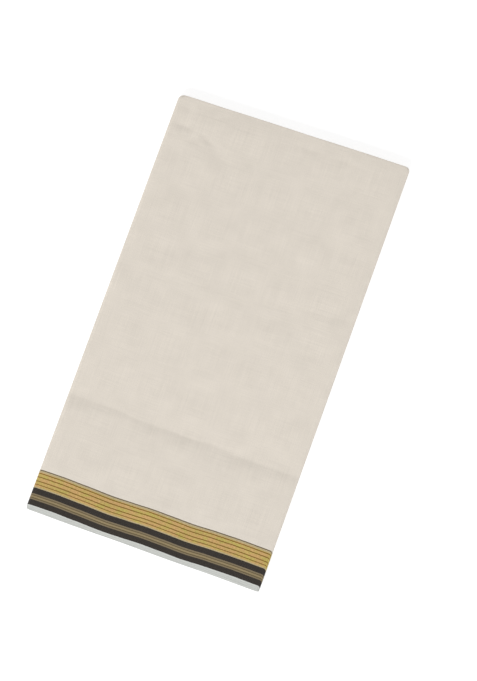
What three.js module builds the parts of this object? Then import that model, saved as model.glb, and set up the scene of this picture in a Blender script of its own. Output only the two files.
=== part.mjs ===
// A cotton saree folded flat for the shelf. The cloth is folded once across its width, selvedge to
// selvedge, and then in half four times along its length, which makes sixteen double leaves.
//
// Millimetres. +X points to the fore-edge, where the ends of the cloth lie, -X to the spine of the
// last fold, +Y to the long fold of the width, -Y to the hem of stacked selvedges, and +Z up. The
// origin is on the surface that the bundle lies on, under the middle of its box.
//
// Counted from the top, the leaves are 1 to 16. The last fold pairs leaf 1 with 16 and 2 with 15 at
// the spine. At the fore-edge leaf 1 turns in to become leaf 8, and leaf 2 to become leaf 7. So two
// stretches of the cloth wrap all the others, one inside the other, and each is a wall of its own:
//   outer stretch   leaf 16, round the spine, leaf 1, round the upper fore-edge, into leaf 8
//   second stretch  leaf 15, round the spine, leaf 2, round the upper fore-edge, into leaf 7
// The leaves between them share one solid, layered at the edges.

import * as THREE from "three";

// ---------------------------------------------------------------------------------------------
// Driving dimensions
// ---------------------------------------------------------------------------------------------

const CLOTH_LENGTH = 5340; // the saree from end to end
const CLOTH_WIDTH = 1220; // from selvedge to selvedge
const HALVINGS = 4; // folds in half along the length

const WALL = 1.2; // a double leaf where it is a wall of its own
const PRESSED_LEAF = 0.75; // the height that a hidden double leaf takes
const GAP = 0.3; // air between neighbouring walls

const SPINE_ROUND = 9; // reach of the outer stretch's turn at the spine
const FORE_ROUND = 5; // reach of its turn round the upper fore-edge
const SQUARENESS = 3; // exponent of a turn's profile: 2 is an ellipse, pressed cloth is squarer
const TUCK = 16; // how far leaves 8 and 7 run in from their turn before the hidden solid takes over

const SPINE_CORNER = 7.5; // plan radius of the corner between the long fold and the spine
const FORE_CORNER = 6.5; // plan radius of the corner between the long fold and the fore-edge

const LEAVES = 2 ** HALVINGS;
const LEAF_WIDTH = CLOTH_LENGTH / LEAVES;
const LEAF_LENGTH = CLOTH_WIDTH / 2;
const HALF_WIDTH = LEAF_WIDTH / 2;
const HALF_LENGTH = LEAF_LENGTH / 2;

// Hand folding leaves the bundle a little out of square: how far each corner lies from the plain
// rectangle's corner.
const CORNER_SHIFT = {
  spineFold: { x: 5.7, y: -5.6 },
  foreFold: { x: 2.5, y: 3.5 },
  spineHem: { x: -3.6, y: 1.7 },
  foreHem: { x: 0.1, y: 0.3 },
};

// The stack from the surface up. Each row is followed by a gap.
const LOWER_FOLDS = 6;
const TUCKED_LEAVES = 2;
const UPPER_FOLDS = 4;
const STACK = [
  { name: "outerUnder", height: WALL },
  { name: "secondUnder", height: WALL },
  { name: "lowerFolds", height: LOWER_FOLDS * PRESSED_LEAF },
  { name: "outerTuck", height: WALL },
  { name: "secondTuck", height: WALL },
  { name: "upperFolds", height: UPPER_FOLDS * PRESSED_LEAF },
  { name: "secondOver", height: WALL },
  { name: "outerOver", height: WALL },
];

// The creases of the top leaf. `at` is the distance from the long fold at mid-width, `slant` how
// much further from it the crease lies at the fore-edge than at the spine, `fold` and `hem` how far
// its two sides reach, and `from` and `to` where it starts and ends across the width, as shares of
// the half width, with `fade` the share over which it dies out there.
const CREASES = [
  // the shelf crease nearer the hem, and the one nearer the long fold
  { at: 445, slant: 10, depth: 1.5, fold: 36, hem: 19, from: -1.3, to: 1.3, fade: 0.1 },
  { at: 235, slant: 8, depth: 0.4, fold: 26, hem: 10, from: -1.3, to: 1.3, fade: 0.1 },
  // puckers by the spine's corner and by the fore-edge's corner
  { at: 56, slant: 12, depth: 0.8, fold: 20, hem: 12, from: -1.05, to: -0.3, fade: 0.3 },
  { at: 66, slant: 16, depth: 0.4, fold: 16, hem: 12, from: 0.3, to: 1.0, fade: 0.3 },
];

// How far the top of the stack sinks towards each edge: at the edge, and from how far in.
const RIM_SINK = {
  longFold: { sink: 0.8, reach: 34 },
  hem: { sink: 1.0, reach: 46 },
  spine: { sink: 0.3, reach: 30 },
  foreEdge: { sink: 0.8, reach: 40 },
};

// How far short of the hem line each stretch ends, under and over the stack.
const HEM_SETBACK = {
  outer: { under: 1.2, over: 3.6 },
  second: { under: 2.4, over: 0.4 },
};

// How far short of the long fold's line each stretch ends.
const FOLD_SETBACK = { outer: 0, second: 0.9 };

// How far short of the fore-edge's line the two raw ends of the cloth lie.
const RAW_END_SETBACK = { outer: 4, second: 6.5 };

// How the hidden leaves end at the fore-edge, from the surface up: bundles of nested folds, and the
// slot that leaves 8 and 7 run into.
const FORE_BUNDLES = [
  { name: "fold of leaves 13 and 14", leaves: 2, setback: 7.5 },
  { name: "fold of leaves 9 to 12", leaves: 4, setback: 3.4 },
];

const COTTON = { color: 0xdcd4c9, roughness: 0.9, metalness: 0 };
const HIDDEN_COTTON = { color: 0xd3cabd, roughness: 0.92, metalness: 0 };

// ---------------------------------------------------------------------------------------------
// Levels and stations
// ---------------------------------------------------------------------------------------------

// The low and high face of every row of the stack, by name.
const LEVEL = {};
let stackTop = 0;
for (const row of STACK) {
  LEVEL[row.name] = { low: stackTop, high: stackTop + row.height };
  stackTop += row.height + GAP;
}
const HIDDEN_LOW = LEVEL.lowerFolds.low;
const HIDDEN_HIGH = LEVEL.upperFolds.high;

const ROUNDED_END = [0, 0.4, 1.8, 4.2, 7.5, 16]; // stations over the rounded corners
const EVEN_STATIONS = 11; // evenly spaced stations between the creases
const CROWDED = 16; // an even station this near another is left out
const END_ZONE = 14; // over this length a leaf is shortened to end at its own hem or fold line

// Stations along the leaf, as distances from the long fold. Each has the slant of its crease, so
// that a line of points runs along every crease that crosses the whole leaf.
function lengthStations() {
  const stations = ROUNDED_END.map((at) => ({ at, slant: 0 }));
  for (const { at, slant, fold, hem, from, to } of CREASES) {
    const crossesAll = from < -1 && to > 1;
    const steps = crossesAll ? [-fold, -fold / 3, 0, hem / 3, hem] : [0];
    for (const step of steps) stations.push({ at: at + step, slant: crossesAll ? slant : 0 });
  }
  for (let i = 1; i <= EVEN_STATIONS; i++) {
    const at = (LEAF_LENGTH * i) / EVEN_STATIONS;
    const crowded = stations.some((other) => Math.abs(other.at - at) < CROWDED);
    if (!crowded || i === EVEN_STATIONS) stations.push({ at, slant: 0 });
  }
  return stations.sort((a, b) => a.at - b.at);
}

const LENGTH_STATIONS = lengthStations();

// Columns across a leaf, as shares of the half width.
const COLUMNS = [-0.94, -0.75, -0.4, 0, 0.4, 0.75, 0.92];

// ---------------------------------------------------------------------------------------------
// From the plain bundle to the real one
// ---------------------------------------------------------------------------------------------

const clamp01 = (value) => Math.min(1, Math.max(0, value));
const mix = (a, b, share) => a + (b - a) * share;
const smooth = (value) => {
  const t = clamp01(value);
  return t * t * (3 - 2 * t);
};

// How much a quarter-round corner of the given radius takes off the side, `end` from the edge.
function cornerCut(radius, end) {
  const into = Math.max(0, radius - end);
  return radius - Math.sqrt(Math.max(0, radius * radius - into * into));
}

// How far the top surface lies below its full height at a plain x and y.
function sinkAt(x, y) {
  const fromFold = HALF_LENGTH - y;
  const across = x / HALF_WIDTH;
  let sink = 0;
  for (const { at, slant, depth, fold, hem, from, to, fade } of CREASES) {
    const past = fromFold - at - (slant * across) / 2;
    const side = past < 0 ? fold : hem;
    const trough = clamp01(1 - Math.abs(past) / side) ** 2;
    sink += depth * trough * smooth((across - from) / fade) * smooth((to - across) / fade);
  }
  const rims = [
    { rim: RIM_SINK.longFold, inside: fromFold },
    { rim: RIM_SINK.hem, inside: HALF_LENGTH + y },
    { rim: RIM_SINK.spine, inside: HALF_WIDTH + x },
    { rim: RIM_SINK.foreEdge, inside: HALF_WIDTH - x },
  ];
  for (const { rim, inside } of rims) sink += rim.sink * clamp01(1 - inside / rim.reach) ** 2;
  return sink;
}

// The plain y of a station at x, for a leaf that ends short of the long fold's line by foldIn and
// short of the hem line by hemIn.
function alongLeaf({ at, slant }, x, foldIn, hemIn) {
  const fromFold = at + (slant * x) / LEAF_WIDTH;
  const atFold = clamp01(1 - at / END_ZONE);
  const atHem = clamp01(1 - (LEAF_LENGTH - at) / END_ZONE);
  return HALF_LENGTH - fromFold - foldIn * atFold + hemIn * atHem;
}

// A plain point moved to its real place: its height sinks with the top of the stack, more the
// higher it lies, the corners by the long fold round off in plan, and the plan goes out of square.
function place(x, y, z) {
  const share = clamp01((z - HIDDEN_LOW) / (HIDDEN_HIGH - HIDDEN_LOW));
  const height = z - share * sinkAt(x, y);
  const fromFold = HALF_LENGTH - y;
  const spineSide = -HALF_WIDTH + cornerCut(SPINE_CORNER, fromFold);
  const foreSide = HALF_WIDTH - cornerCut(FORE_CORNER, fromFold);
  const u = (x + HALF_WIDTH) / LEAF_WIDTH;
  const v = (y + HALF_LENGTH) / LEAF_LENGTH;
  const shift = (axis) =>
    mix(
      mix(CORNER_SHIFT.spineHem[axis], CORNER_SHIFT.foreHem[axis], u),
      mix(CORNER_SHIFT.spineFold[axis], CORNER_SHIFT.foreFold[axis], u),
      v,
    );
  return [mix(spineSide, foreSide, u) + shift("x"), y + shift("y"), height];
}

// ---------------------------------------------------------------------------------------------
// Closed solids from grids of points
// ---------------------------------------------------------------------------------------------

// The indices of a grid's edge, once round, starting at its first corner.
function gridRim(rows, columns) {
  const rim = [];
  for (let j = 0; j < columns - 1; j++) rim.push([0, j]);
  for (let i = 0; i < rows - 1; i++) rim.push([i, columns - 1]);
  for (let j = columns - 1; j > 0; j--) rim.push([rows - 1, j]);
  for (let i = rows - 1; i > 0; i--) rim.push([i, 0]);
  return rim;
}

// A closed mesh between two grids of the same size. `rings` are closed loops of points between the
// rim of the upper grid and the rim of the lower one, in the order of gridRim.
function closedSolid(upper, lower, rings = []) {
  const rows = upper.length;
  const columns = upper[0].length;
  const positions = [];
  const faces = [];
  const add = (point) => positions.push(...point) / 3 - 1;
  const upperIndex = upper.map((row) => row.map(add));
  const lowerIndex = lower.map((row) => row.map(add));
  const quad = (a, b, c, d) => faces.push(a, b, c, a, c, d);
  for (let i = 0; i < rows - 1; i++) {
    for (let j = 0; j < columns - 1; j++) {
      quad(upperIndex[i][j], upperIndex[i + 1][j], upperIndex[i + 1][j + 1], upperIndex[i][j + 1]);
      quad(lowerIndex[i][j], lowerIndex[i][j + 1], lowerIndex[i + 1][j + 1], lowerIndex[i + 1][j]);
    }
  }
  const rim = gridRim(rows, columns);
  const loops = [
    rim.map(([i, j]) => upperIndex[i][j]),
    ...rings.map((ring) => ring.map(add)),
    rim.map(([i, j]) => lowerIndex[i][j]),
  ];
  for (let k = 0; k < loops.length - 1; k++) {
    for (let n = 0; n < rim.length; n++) {
      const next = (n + 1) % rim.length;
      quad(loops[k][n], loops[k][next], loops[k + 1][next], loops[k + 1][n]);
    }
  }
  const geometry = new THREE.BufferGeometry();
  geometry.setAttribute("position", new THREE.Float32BufferAttribute(positions, 3));
  geometry.setIndex(faces);
  geometry.computeVertexNormals();
  return geometry;
}

function namedMesh(name, geometry, finish) {
  const mesh = new THREE.Mesh(geometry, new THREE.MeshStandardMaterial(finish));
  mesh.name = name;
  return mesh;
}

// ---------------------------------------------------------------------------------------------
// The stretches that wrap the bundle
// ---------------------------------------------------------------------------------------------

const SPINE_STEPS = 8; // parts of the half turn at the spine
const FORE_STEPS = 5; // parts of the half turn at the fore-edge
const THINNED_EDGE = 0.3; // what is left of the wall at the very edge of the long fold, as a share

// The section of a stretch across the bundle, as x and z of its middle line and of the direction
// out of it: along the surface to the spine, round it, back over the top, round the upper
// fore-edge and in again. `nested` is how far inside the outer stretch it lies.
function stretchSection(rows, nested, rawEnd) {
  const middle = (row) => (row.low + row.high) / 2;
  const spineX = -HALF_WIDTH + SPINE_ROUND;
  const foreX = HALF_WIDTH - FORE_ROUND;
  const section = [];
  const flat = (x, z, up) => section.push({ x, z, outX: 0, outZ: up });
  const turn = (x, low, high, reach, side, steps) => {
    const centre = (low + high) / 2;
    const rise = (high - low) / 2;
    const signedPower = (value, power) => Math.sign(value) * Math.abs(value) ** power;
    for (let i = 0; i <= steps; i++) {
      const angle = (Math.PI * i) / steps;
      const across = side * Math.sin(angle);
      const upright = side * Math.cos(angle);
      const outX = signedPower(across, 2 - 2 / SQUARENESS);
      const outZ = signedPower(upright, 2 - 2 / SQUARENESS);
      const length = Math.hypot(outX, outZ);
      section.push({
        x: x + reach * signedPower(across, 2 / SQUARENESS),
        z: centre + rise * signedPower(upright, 2 / SQUARENESS),
        outX: outX / length,
        outZ: outZ / length,
      });
    }
  };
  const columns = COLUMNS.map((share) => share * HALF_WIDTH);
  const half = WALL / 2;
  flat(HALF_WIDTH - rawEnd, middle(rows.under), -1);
  for (const x of [...columns].reverse()) flat(x, middle(rows.under), -1);
  turn(spineX, middle(rows.under), middle(rows.over), SPINE_ROUND - nested - half, -1, SPINE_STEPS);
  for (const x of columns) flat(x, middle(rows.over), 1);
  turn(foreX, middle(rows.tuck), middle(rows.over), FORE_ROUND - nested - half, 1, FORE_STEPS);
  flat(foreX - TUCK, middle(rows.tuck), -1);
  return section;
}

// A stretch as one wall: its section carried along the leaf, with a round edge at the long fold and
// a cut edge at the hem.
function stretchSolid(rows, nested, rawEnd, foldSetback, hemSetback) {
  const section = stretchSection(rows, nested, rawEnd);
  const lowest = section[0].z;
  const highest = rows.over.high;
  const half = WALL / 2;
  const face = (side) =>
    LENGTH_STATIONS.map((station) => {
      const inside = Math.max(0, 1 - station.at / half);
      const off = side * half * Math.max(THINNED_EDGE, Math.sqrt(1 - inside ** 2));
      return section.map(({ x, z, outX, outZ }) => {
        const over = clamp01((z - lowest) / (highest - lowest));
        const hemIn = mix(hemSetback.under, hemSetback.over, over);
        return place(x + off * outX, alongLeaf(station, x, foldSetback, hemIn), z + off * outZ);
      });
    });
  return closedSolid(face(1), face(-1));
}

const outerStretch = stretchSolid(
  { under: LEVEL.outerUnder, over: LEVEL.outerOver, tuck: LEVEL.outerTuck },
  0,
  RAW_END_SETBACK.outer,
  FOLD_SETBACK.outer,
  HEM_SETBACK.outer,
);
const secondStretch = stretchSolid(
  { under: LEVEL.secondUnder, over: LEVEL.secondOver, tuck: LEVEL.secondTuck },
  WALL + GAP,
  RAW_END_SETBACK.second,
  FOLD_SETBACK.second,
  HEM_SETBACK.second,
);

// ---------------------------------------------------------------------------------------------
// The hidden folds
// ---------------------------------------------------------------------------------------------

const NEST = 2 * (WALL + GAP); // both stretches lie outside the hidden folds at the spine
const LEAF_SWAY = 0.9; // how far the edges of neighbouring leaves step in and out
const FOLD_DEPTH = 0.55; // depth of the groove between two folds at the long fold
const SELVEDGE_DEPTH = 0.8; // depth of the groove between two leaves at the hem
const BUNDLE_ROUND = 1.6; // reach of the turn of a lower bundle at the fore-edge
const SLOT_LIP = 0.06; // height over which the solid steps back into the slot of leaves 7 and 8
const SLOT_INSET = FORE_ROUND + TUCK + GAP;

// The edges of the hidden leaves from the top down, each with its low and high level.
function hiddenLeaves() {
  const rowsDown = [
    { level: LEVEL.upperFolds, count: UPPER_FOLDS },
    {
      level: { low: LEVEL.lowerFolds.high, high: LEVEL.upperFolds.low },
      count: TUCKED_LEAVES,
      inSlot: true,
    },
    { level: LEVEL.lowerFolds, count: LOWER_FOLDS },
  ];
  return rowsDown.flatMap(({ level, count, inSlot }) =>
    Array.from({ length: count }, (_, n) => ({
      high: mix(level.high, level.low, n / count),
      low: mix(level.high, level.low, (n + 1) / count),
      inSlot,
    })),
  );
}

// A turn of the given reach between two levels: how far it stands out at z.
function turnReach(z, low, high, reach) {
  const off = Math.abs(2 * z - low - high) / (high - low);
  return reach * Math.max(0, 1 - off ** SQUARENESS) ** (1 / SQUARENESS);
}

// How far in from the fore-edge's line the hidden folds end at a level.
function foreInset(z) {
  const { lowerFolds, upperFolds } = LEVEL;
  if (z >= upperFolds.low) {
    return FORE_ROUND - turnReach(z, upperFolds.low, upperFolds.high, FORE_ROUND - NEST);
  }
  if (z > lowerFolds.high) return SLOT_INSET;
  let low = lowerFolds.low;
  for (const { leaves, setback } of FORE_BUNDLES) {
    const high = low + leaves * PRESSED_LEAF;
    if (z <= high) return setback + BUNDLE_ROUND - turnReach(z, low, high, BUNDLE_ROUND);
    low = high;
  }
  return SLOT_INSET;
}

// How far in from the spine's line they end: their own turn lies inside both stretches.
function spineInset(z) {
  return SPINE_ROUND - turnReach(z, HIDDEN_LOW, HIDDEN_HIGH, SPINE_ROUND - NEST);
}

function hiddenFolds() {
  const topSpine = -HALF_WIDTH + spineInset(HIDDEN_HIGH);
  const topFore = HALF_WIDTH - foreInset(HIDDEN_HIGH);
  const columns = [topSpine, ...COLUMNS.map((share) => share * HALF_WIDTH), topFore];
  const plan = (z, foldIn, hemIn) => (i, j) => {
    const share = (columns[j] - topSpine) / (topFore - topSpine);
    const x = mix(-HALF_WIDTH + spineInset(z), HALF_WIDTH - foreInset(z), share);
    return place(x, alongLeaf(LENGTH_STATIONS[i], x, foldIn, hemIn), z);
  };
  const grid = (z, foldIn, hemIn) => {
    const pointAt = plan(z, foldIn, hemIn);
    return LENGTH_STATIONS.map((_, i) => columns.map((__, j) => pointAt(i, j)));
  };
  const rim = gridRim(LENGTH_STATIONS.length, columns.length);
  const ring = (z, foldIn, hemIn) => {
    const pointAt = plan(z, foldIn, hemIn);
    return rim.map(([i, j]) => pointAt(i, j));
  };
  const foldIn = (n) => 1 + LEAF_SWAY * (1 + Math.sin(2.4 * n));
  const hemIn = (n) => LEAF_SWAY * (1 + Math.sin(1.9 * n));
  const leaves = hiddenLeaves();
  const last = leaves.length - 1;
  const rings = leaves.flatMap(({ low, high, inSlot }, n) => {
    const ease = inSlot ? SLOT_LIP : (high - low) / 4;
    const edges = [
      ring(high - ease, foldIn(n), hemIn(n)),
      ring(low + ease, foldIn(n), hemIn(n)),
    ];
    return n < last ? [...edges, ring(low, foldIn(n) + FOLD_DEPTH, hemIn(n) + SELVEDGE_DEPTH)] : edges;
  });
  const top = grid(HIDDEN_HIGH, foldIn(0) + FOLD_DEPTH, hemIn(0) + SELVEDGE_DEPTH);
  const bottom = grid(HIDDEN_LOW, foldIn(last) + FOLD_DEPTH, hemIn(last) + SELVEDGE_DEPTH);
  return closedSolid(top, bottom, rings);
}

// ---------------------------------------------------------------------------------------------
// The saree
// ---------------------------------------------------------------------------------------------

const saree = new THREE.Group();
saree.add(
  namedMesh("outer_stretch", outerStretch, COTTON),
  namedMesh("second_stretch", secondStretch, COTTON),
  namedMesh("hidden_folds", hiddenFolds(), HIDDEN_COTTON),
);

// The origin goes under the middle of the bundle's box.
const middle = new THREE.Box3().setFromObject(saree).getCenter(new THREE.Vector3());
saree.position.set(-middle.x, -middle.y, 0);

export default saree;
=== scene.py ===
# %% [markdown]
# # A folded cotton saree
#
# A saree is one long, uncut length of cloth. For the shelf it is folded once across its width, so
# that both borders lie on each other, and then in half again and again along its length. This lesson
# builds such a bundle as the real thing is made: not a box with lines drawn on its sides, but one
# sheet of cloth that is led through every fold, with the border woven along both of its edges.

# %% The frame
import math

import bpy
import numpy as np
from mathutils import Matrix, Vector


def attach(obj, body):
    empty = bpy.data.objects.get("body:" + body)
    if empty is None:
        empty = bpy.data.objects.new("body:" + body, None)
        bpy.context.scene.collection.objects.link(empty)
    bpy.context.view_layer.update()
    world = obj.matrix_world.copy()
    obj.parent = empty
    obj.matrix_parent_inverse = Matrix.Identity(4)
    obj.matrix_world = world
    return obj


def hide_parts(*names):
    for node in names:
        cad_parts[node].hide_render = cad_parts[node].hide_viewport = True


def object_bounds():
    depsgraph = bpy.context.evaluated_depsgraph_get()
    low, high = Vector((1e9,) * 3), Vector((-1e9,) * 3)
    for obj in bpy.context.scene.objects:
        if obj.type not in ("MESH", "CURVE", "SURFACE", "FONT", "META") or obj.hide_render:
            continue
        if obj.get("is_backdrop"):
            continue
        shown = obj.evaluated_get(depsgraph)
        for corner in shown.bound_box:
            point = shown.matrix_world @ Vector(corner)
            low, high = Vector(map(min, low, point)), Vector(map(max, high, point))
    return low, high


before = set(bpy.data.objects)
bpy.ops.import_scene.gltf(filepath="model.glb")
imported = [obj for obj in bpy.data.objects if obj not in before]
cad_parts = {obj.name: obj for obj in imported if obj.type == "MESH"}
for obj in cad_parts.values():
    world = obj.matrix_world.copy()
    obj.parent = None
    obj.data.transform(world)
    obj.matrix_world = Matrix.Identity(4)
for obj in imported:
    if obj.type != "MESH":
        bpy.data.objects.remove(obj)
cad_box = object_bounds()

MM = 0.001
print("the bundle's box in mm:", [round(side / MM, 1) for side in cad_box[1] - cad_box[0]])

# %% [markdown]
# ## The cloth and its folds
#
# A cotton saree is about five and a third metres long and 1.22 m wide. One fold across the width
# gives a strip 0.61 m wide, two sheets thick: a double leaf. Four halvings of its length then give
# sixteen leaves on top of each other, thirty-two sheets in all.

# %% Sizes of the cloth and of the folded bundle
CLOTH_LENGTH = 5.34
CLOTH_WIDTH = 1.22
HALVINGS = 4
LEAVES = 2**HALVINGS
LEAF_WIDTH = CLOTH_LENGTH / LEAVES
LEAF_LENGTH = CLOTH_WIDTH / 2
HALF_WIDTH = LEAF_WIDTH / 2
HALF_LENGTH = LEAF_LENGTH / 2
print("a leaf is", round(LEAF_WIDTH / MM), "by", round(LEAF_LENGTH / MM), "mm")

# %% Heights of the leaves
YARN_THICKNESS = 0.25 * MM  # thickness of one sheet
STACK_HEIGHT = cad_box[1].z - cad_box[0].z
LEAF_PITCH = (STACK_HEIGHT - YARN_THICKNESS) / (LEAVES - 0.5)  # from one leaf's middle to the next
SHEET_OFFSET = LEAF_PITCH / 4  # from a leaf's middle to the middle of either of its sheets
LOWEST_LEAF = SHEET_OFFSET + YARN_THICKNESS / 2
leaf_height = LOWEST_LEAF + LEAF_PITCH * np.arange(LEAVES)
print("leaves lie", round(LEAF_PITCH / MM, 2), "mm apart")

# %% [markdown]
# Blender's cloth solver could do the folding, but thirty-two thin sheets in contact are about the
# hardest thing to give it, and the result is known beforehand. So the order of the leaves is worked
# out instead: a small array of panel numbers is folded just as the hands fold the cloth.

# %% The order of the panels in the stack


def fold_in_half(stack):
    """The stack after one halving: its right half turned over, face down and end for end, and laid
    on its left half. Rows are levels from the bottom up, columns are places along the strip."""
    left, right = np.hsplit(stack, 2)
    return np.vstack([left, right[::-1, ::-1]])


stack = np.arange(LEAVES)[None, :]
for _ in range(HALVINGS):
    stack = fold_in_half(stack)
panel_level = np.argsort(stack[:, 0])
print("levels of the panels, from one end of the cloth to the other:", panel_level)

# %% [markdown]
# ## The path of the cloth through the bundle
#
# Seen from the hem, the cloth runs flat along one leaf, turns over at the spine or at the fore-edge,
# and comes back along another leaf. The turns at the spine are nested inside each other. Those at the
# fore-edge make three bundles of eight, four and two leaves, with the two raw ends of the cloth below
# them. The path is a table of points: x, height, and the panel that the point belongs to, which runs
# smoothly from one panel to the next round a turn.

# %% Where the leaves turn
SPINE_START = -HALF_WIDTH + 9 * MM  # the turns at the spine begin here
# the bundles at the fore-edge: the lowest and highest level of each, and how far in its turns begin
FORE_BUNDLES = [
    {"low": 8, "high": 15, "inset": 5.0 * MM},
    {"low": 4, "high": 7, "inset": 5.8 * MM},
    {"low": 2, "high": 3, "inset": 8.6 * MM},
    {"low": 1, "high": 1, "inset": 6.5 * MM},
    {"low": 0, "high": 0, "inset": 4.0 * MM},
]
fore_start = np.zeros(LEAVES)
for bundle in FORE_BUNDLES:
    fore_start[bundle["low"] : bundle["high"] + 1] = HALF_WIDTH - bundle["inset"]
print("the turns at the fore-edge begin at", np.round(fore_start / MM, 1), "mm")

# %% The flat part of a panel


def panel_ends(panel):
    """The x where a panel's flat part begins and ends: even panels run from the fore-edge to the
    spine, odd ones back."""
    fore = fore_start[panel_level[panel]]
    return (fore, SPINE_START) if panel % 2 == 0 else (SPINE_START, fore)


def run(panel, steps, share_from=0.0, share_to=1.0):
    """The flat part of a panel, or a share of it: x goes evenly from end to end at the height of the
    panel's level."""
    start, end = panel_ends(panel)
    x = start + (end - start) * np.linspace(share_from, share_to, steps + 1)
    height = leaf_height[panel_level[panel]]
    return np.column_stack([x, np.full_like(x, height), np.full_like(x, panel)])


print("panel 1 runs from", np.round(np.array(panel_ends(1)) / MM, 1), "mm")

# %% [markdown]
# A turn could be half a circle. Pressed cloth is flatter on top and turns later, which a squared
# ellipse gives: the larger its power, the closer it comes to a rectangle with rounded corners.

# %% A turn from one leaf to another
TURN_SLACK = 0.45 * MM  # what even the tightest turn stands out
TURN_FULLNESS = 1.06  # reach of a turn for each unit of its half height
TURN_SQUARENESS = 3.0  # 2 would be an ellipse


def turn_after(panel, steps):
    """The turn from a panel to the next: half a squared ellipse, |x/reach|^n + |z/rise|^n = 1, whose
    height is the distance between the two leaves and whose reach grows with it."""
    angle = np.linspace(0, np.pi, steps + 1)
    round_x = np.abs(np.sin(angle)) ** (2 / TURN_SQUARENESS)
    round_z = np.sign(np.cos(angle)) * np.abs(np.cos(angle)) ** (2 / TURN_SQUARENESS)
    here, there = leaf_height[panel_level[[panel, panel + 1]]]
    side = -1 if panel % 2 == 0 else 1
    rise = (here - there) / 2
    reach = TURN_SLACK + TURN_FULLNESS * abs(rise)
    x = panel_ends(panel)[1] + side * reach * round_x
    height = (here + there) / 2 + rise * round_z
    return np.column_stack([x, height, panel + angle / np.pi])


def joined(legs):
    """The legs of a path end to end, with each shared point kept once."""
    return np.vstack([legs[0], *(leg[1:] for leg in legs[1:])])


outermost = turn_after(0, 2)
print("the outermost turn stands out", round(float(SPINE_START - outermost[1, 0]) / MM, 1), "mm")

# %% [markdown]
# The cloth is made in three stretches, because three things show: the outer stretch wraps the whole
# bundle and is its top, its underside and its spine; the second one lies just inside it, and its edge
# shows past the hem; and the hidden folds are seen only from the sides. All three follow one path, so
# they meet end to end inside the bundle, a little way in from the fore-edge. Points are spent where
# the light falls: many on the top leaf, few on the leaves that show only their edges.

# %% The outer stretch
TUCK = 16 * MM  # how far the outer stretches run in behind the fore-edge
TUCKED_SHARE = TUCK / (fore_start[-1] - SPINE_START)
LAST = LEAVES - 1
TOP_STEPS, PLAIN_STEPS, HIDDEN_STEPS, TUCK_STEPS = 108, 14, 8, 3
SPINE_TURN_STEPS, FORE_TURN_STEPS = 20, 14

outer_path = joined(
    [
        run(0, PLAIN_STEPS),
        turn_after(0, SPINE_TURN_STEPS),
        run(1, TOP_STEPS),
        turn_after(1, FORE_TURN_STEPS),
        run(2, TUCK_STEPS, 0, TUCKED_SHARE),
    ]
)
print("the outer stretch has", len(outer_path), "points")

# %% The hidden folds and the second stretch
hidden_legs = [run(2, HIDDEN_STEPS, TUCKED_SHARE, 1), turn_after(2, HIDDEN_STEPS)]
for panel in range(3, LAST - 2):
    hidden_legs += [run(panel, HIDDEN_STEPS), turn_after(panel, HIDDEN_STEPS)]
hidden_legs.append(run(LAST - 2, HIDDEN_STEPS, 0, 1 - TUCKED_SHARE))
hidden_path = joined(hidden_legs)

second_path = joined(
    [
        run(LAST - 2, TUCK_STEPS, 1 - TUCKED_SHARE, 1),
        turn_after(LAST - 2, FORE_TURN_STEPS),
        run(LAST - 1, 2 * PLAIN_STEPS),
        turn_after(LAST - 1, SPINE_TURN_STEPS),
        run(LAST, PLAIN_STEPS),
    ]
)

# %% The length of cloth in each


def path_lengths(path):
    """Distance along the path at each of its points, summed up from point to point."""
    steps = np.linalg.norm(np.diff(path[:, :2], axis=0), axis=1)
    return np.concatenate([[0], np.cumsum(steps)])


for label, path in (("outer", outer_path), ("hidden", hidden_path), ("second", second_path)):
    print(label, "stretch:", round(path_lengths(path)[-1], 3), "m of cloth")

# %% [markdown]
# ## The plan of the bundle
#
# Folded by hand, the bundle is never quite square. Its four corners are shifted by a few millimetres,
# and the two corners at the long fold are rounded. That is one mapping from a plain, square bundle to
# the real one. Every sheet goes through the same mapping, so no sheet can cut through its neighbour.

# %% Two small helpers


def mix(a, b, share):
    """a where share is 0, b where it is 1, and in proportion between them."""
    return a + (b - a) * share


def smooth(value):
    """0 below 0, 1 above 1, and the cubic 3t^2 - 2t^3 between them."""
    t = np.clip(value, 0, 1)
    return t * t * (3 - 2 * t)


print("smooth goes", smooth(np.linspace(0, 1, 5)))

# %% Square bundle to real bundle
# how far each corner lies from the plain rectangle's, in mm
CORNER_SHIFT = {
    "spine_fold": (6.1, -5.6),
    "fore_fold": (2.5, 3.5),
    "spine_hem": (-3.5, 1.7),
    "fore_hem": (0.1, 0.3),
}
RECTANGLE_MIDDLE = np.array([0.63, -1.91]) * MM  # the plain rectangle's middle, seen from the origin
SPINE_CORNER = 7.5 * MM
FORE_CORNER = 6.5 * MM


def corner_cut(radius, from_end):
    """What a quarter round of this radius takes off the side at a distance from the end:
    r - sqrt(r^2 - (r - distance)^2)."""
    into = np.clip(radius - from_end, 0, radius)
    return radius - np.sqrt(radius**2 - into**2)


def corner_shift(u, v, axis):
    """The shift of the four corners along one axis, shared out bilinearly: u is the share of the way
    from spine to fore-edge, v from hem to long fold."""
    hem = mix(CORNER_SHIFT["spine_hem"][axis], CORNER_SHIFT["fore_hem"][axis], u)
    fold = mix(CORNER_SHIFT["spine_fold"][axis], CORNER_SHIFT["fore_fold"][axis], u)
    return MM * mix(hem, fold, v)


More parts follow.
